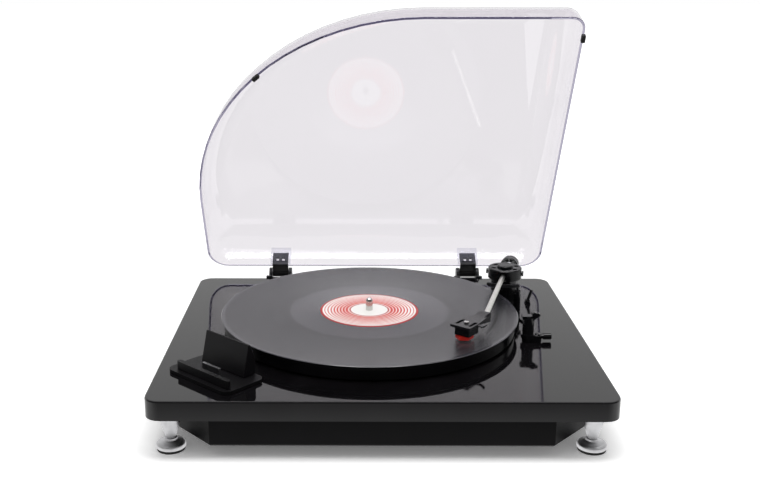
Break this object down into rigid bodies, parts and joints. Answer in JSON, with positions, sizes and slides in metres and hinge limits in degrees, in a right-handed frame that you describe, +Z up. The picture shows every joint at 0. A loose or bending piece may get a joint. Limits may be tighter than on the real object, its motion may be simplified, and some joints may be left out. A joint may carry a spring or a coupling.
{
  "type": "turntable",
  "caption": "Belt-drive record player with a shallow plinth on conical feet, a pick-up arm, a corner dock for a player and a hinged clear lid.",
  "frame": {"origin": "centre of the whole shape's footprint, on the plane under the foot pads, with the lid open as in the picture", "axes": "+X to the right along the front edge, -Y towards the front, +Z up"},
  "size_m": [0.4084, 0.3826, 0.3755],
  "materials": {
    "gloss_black": "high gloss",
    "satin_black": "satin",
    "dock_grey": "matte",
    "satin_aluminium": "satin",
    "polished_steel": "polished",
    "arm_silver": "bright satin",
    "drum_black": "satin black",
    "arm_black": "satin",
    "light_cap": "satin",
    "headshell_grey": "satin",
    "stylus_red": "gloss",
    "felt": "felt",
    "vinyl": "grooved gloss",
    "platter_metal": "turned",
    "brass_plain": "turned",
    "black_rubber": "matte",
    "clear_lid": "clear",
    "board": "solder mask",
    "zinc_steel": "plain",
    "cable_grey": "satin"
  },
  "bodies": {
    "base": {"plinth_shell": "gloss_black", "bottom_plate": "satin_black", "under_housing": "satin_black", "foot_front_left": "satin_aluminium", "foot_front_right": "satin_aluminium", "foot_back_left": "satin_aluminium", "foot_back_right": "satin_aluminium", "foot_pad_front_left": "black_rubber", "foot_pad_front_right": "black_rubber", "foot_pad_back_left": "black_rubber", "foot_pad_back_right": "black_rubber", "spindle_bearing": "brass_plain", "drive_motor": "zinc_steel", "motor_cable": "cable_grey", "main_board": "board", "power_inlet": "satin_black", "usb_socket": "zinc_steel", "rca_sockets": "polished_steel", "drive_belt": "black_rubber", "hinge_base_left": "satin_black", "hinge_base_right": "satin_black", "hinge_pin_left": "zinc_steel", "hinge_pin_right": "zinc_steel", "arm_base": "satin_black", "arm_side_plate": "satin_black", "cue_post": "satin_black", "arm_rest": "satin_black", "dock_base": "dock_grey", "dock_backrest": "dock_grey", "dock_connector": "zinc_steel"},
    "platter": {"platter": "platter_metal", "platter_spindle": "polished_steel", "slipmat": "felt", "vinyl_record": "vinyl"},
    "pulley": {"motor_pulley": "brass_plain", "motor_shaft": "polished_steel"},
    "arm_pivot": {"arm_gimbal": "arm_black", "gimbal_shaft": "polished_steel", "gimbal_pivot_left": "polished_steel", "gimbal_pivot_right": "polished_steel"},
    "arm": {"arm_block": "arm_black", "arm_tube": "arm_silver", "headshell": "headshell_grey", "cartridge": "arm_black", "cartridge_screw": "polished_steel", "stylus": "stylus_red"},
    "counterweight": {"counterweight": "drum_black"},
    "weight_dial": {"weight_dial": "arm_black"},
    "cue_lever": {"cue_lever": "polished_steel"},
    "cue_platform": {"cue_platform": "satin_black"},
    "arm_clip": {"arm_clip": "satin_black"},
    "speed_selector": {"speed_selector": "satin_black"},
    "lid": {"lid_shell": "clear_lid", "lid_socket_left": "clear_lid", "lid_socket_right": "clear_lid", "hinge_leaf_left": "satin_black", "hinge_leaf_right": "satin_black", "lid_bumper_left": "black_rubber", "lid_bumper_right": "black_rubber"}
  },
  "joints": [
    {"name": "platter_turn", "type": "hinge", "parent": "base", "child": "platter", "pos_m": [-0.00823, -0.00235, 0.06], "axis": [0, 0, 1], "continuous": true},
    {"name": "pulley_turn", "type": "hinge", "parent": "base", "child": "pulley", "pos_m": [-0.0846, 0.07402, 0.06], "axis": [0, 0, 1], "continuous": true},
    {"name": "arm_swing", "type": "hinge", "parent": "base", "child": "arm_pivot", "pos_m": [0.141, 0.07035, 0.0912], "axis": [0, 0, 1], "range_deg": [-22, 19.36]},
    {"name": "arm_lift", "type": "hinge", "parent": "arm_pivot", "child": "arm", "pos_m": [0.141, 0.07035, 0.0912], "axis": [-0.9588, 0.284, 0], "range_deg": [0, 4.5]},
    {"name": "cue_lever", "type": "hinge", "parent": "base", "child": "cue_lever", "pos_m": [0.1574, -0.04795, 0.062], "axis": [0, -1, 0], "range_deg": [0, 54]},
    {"name": "cue_platform", "type": "slide", "parent": "base", "child": "cue_platform", "axis": [0, 0, 1], "range_m": [0, 0.0026]},
    {"name": "counterweight_turn", "type": "hinge", "parent": "arm", "child": "counterweight", "pos_m": [0.141, 0.07035, 0.0912], "axis": [0.2833, 0.9565, -0.0698], "continuous": true},
    {"name": "weight_dial_turn", "type": "hinge", "parent": "counterweight", "child": "weight_dial", "pos_m": [0.141, 0.07035, 0.0912], "axis": [0.2833, 0.9565, -0.0698], "continuous": true},
    {"name": "arm_clip", "type": "hinge", "parent": "base", "child": "arm_clip", "pos_m": [0.1529, -0.04795, 0.08379], "axis": [0, 1, 0], "range_deg": [-100, 0]},
    {"name": "speed_selector", "type": "hinge", "parent": "base", "child": "speed_selector", "pos_m": [0.165, 0.05845, 0.0625], "axis": [0, 1, 0], "range_deg": [-35, 0]},
    {"name": "lid", "type": "hinge", "parent": "base", "child": "lid", "pos_m": [0, 0.16895, 0.059], "axis": [-1, 0, 0], "range_deg": [-60, 0]}
  ],
  "couplings": [
    {"joint": "pulley_turn", "follows": "platter_turn", "ratio": 15},
    {"joint": "cue_lever", "follows": "arm_lift", "ratio": 12},
    {"joint": "cue_platform", "follows": "arm_lift", "m_per_rad": 0.032}
  ]
}
